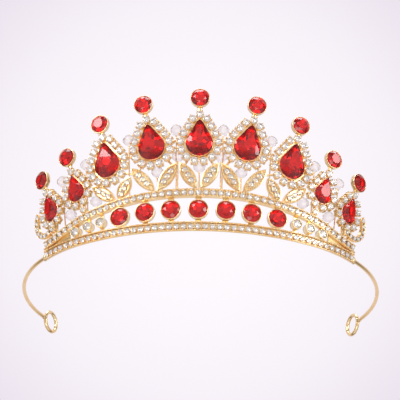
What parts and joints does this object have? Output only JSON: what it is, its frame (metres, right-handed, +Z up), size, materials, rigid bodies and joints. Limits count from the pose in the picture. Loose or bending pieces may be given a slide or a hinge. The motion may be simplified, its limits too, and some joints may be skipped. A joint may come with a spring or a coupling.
{
  "type": "tiara crown",
  "caption": "Tiara crown worn on the hair: a flared, curved front of jewelled rails, leaves and pear-shaped drops, carried on two headband wires with end loops.",
  "frame": {"origin": "middle of the crown's box in plan, on the plane that the lower rail stands on", "axes": "+X to the viewer's right along the crown, -Y out of the jewelled front, +Y towards the wire ends, +Z up towards the round stones on top"},
  "size_m": [0.1516, 0.11, 0.0608],
  "materials": {
    "gold_plate": "polished light gold plate",
    "red_glass": "faceted foil-backed glass",
    "clear_glass": "faceted foil-backed glass"
  },
  "bodies": {
    "root": {"lower_rail": "gold_plate", "upper_rail": "gold_plate", "left_end_plate": "gold_plate", "right_end_plate": "gold_plate", "lower_rail_stones": "clear_glass", "upper_rail_stones": "clear_glass", "left_headband_wire": "gold_plate", "right_headband_wire": "gold_plate", "left_wire_tab": "gold_plate", "right_wire_tab": "gold_plate", "gallery_bezels": "gold_plate", "gallery_red_stones": "red_glass", "side_bezels": "gold_plate", "side_clear_stones": "clear_glass", "leaf_frames": "gold_plate", "leaf_stones": "clear_glass", "left_scroll": "gold_plate", "right_scroll": "gold_plate", "scroll_stones": "clear_glass", "centre_drop_frame": "gold_plate", "left_drop_1_frame": "gold_plate", "left_drop_2_frame": "gold_plate", "left_drop_3_frame": "gold_plate", "left_drop_4_frame": "gold_plate", "right_drop_1_frame": "gold_plate", "right_drop_2_frame": "gold_plate", "right_drop_3_frame": "gold_plate", "right_drop_4_frame": "gold_plate", "centre_pear_stone": "red_glass", "left_pear_stone_1": "red_glass", "left_pear_stone_2": "red_glass", "left_pear_stone_3": "red_glass", "left_pear_stone_4": "red_glass", "right_pear_stone_1": "red_glass", "right_pear_stone_2": "red_glass", "right_pear_stone_3": "red_glass", "right_pear_stone_4": "red_glass", "centre_halo_stones": "clear_glass", "left_halo_stones_1": "clear_glass", "left_halo_stones_2": "clear_glass", "left_halo_stones_3": "clear_glass", "left_halo_stones_4": "clear_glass", "right_halo_stones_1": "clear_glass", "right_halo_stones_2": "clear_glass", "right_halo_stones_3": "clear_glass", "right_halo_stones_4": "clear_glass", "centre_finial_stone": "red_glass", "left_finial_stone_1": "red_glass", "left_finial_stone_2": "red_glass", "left_finial_stone_3": "red_glass", "left_finial_stone_4": "red_glass", "right_finial_stone_1": "red_glass", "right_finial_stone_2": "red_glass", "right_finial_stone_3": "red_glass", "right_finial_stone_4": "red_glass", "link_bars": "gold_plate", "small_post_stones": "clear_glass", "rear_bead_wires": "gold_plate", "rear_beads": "clear_glass"}
  },
  "joints": []
}
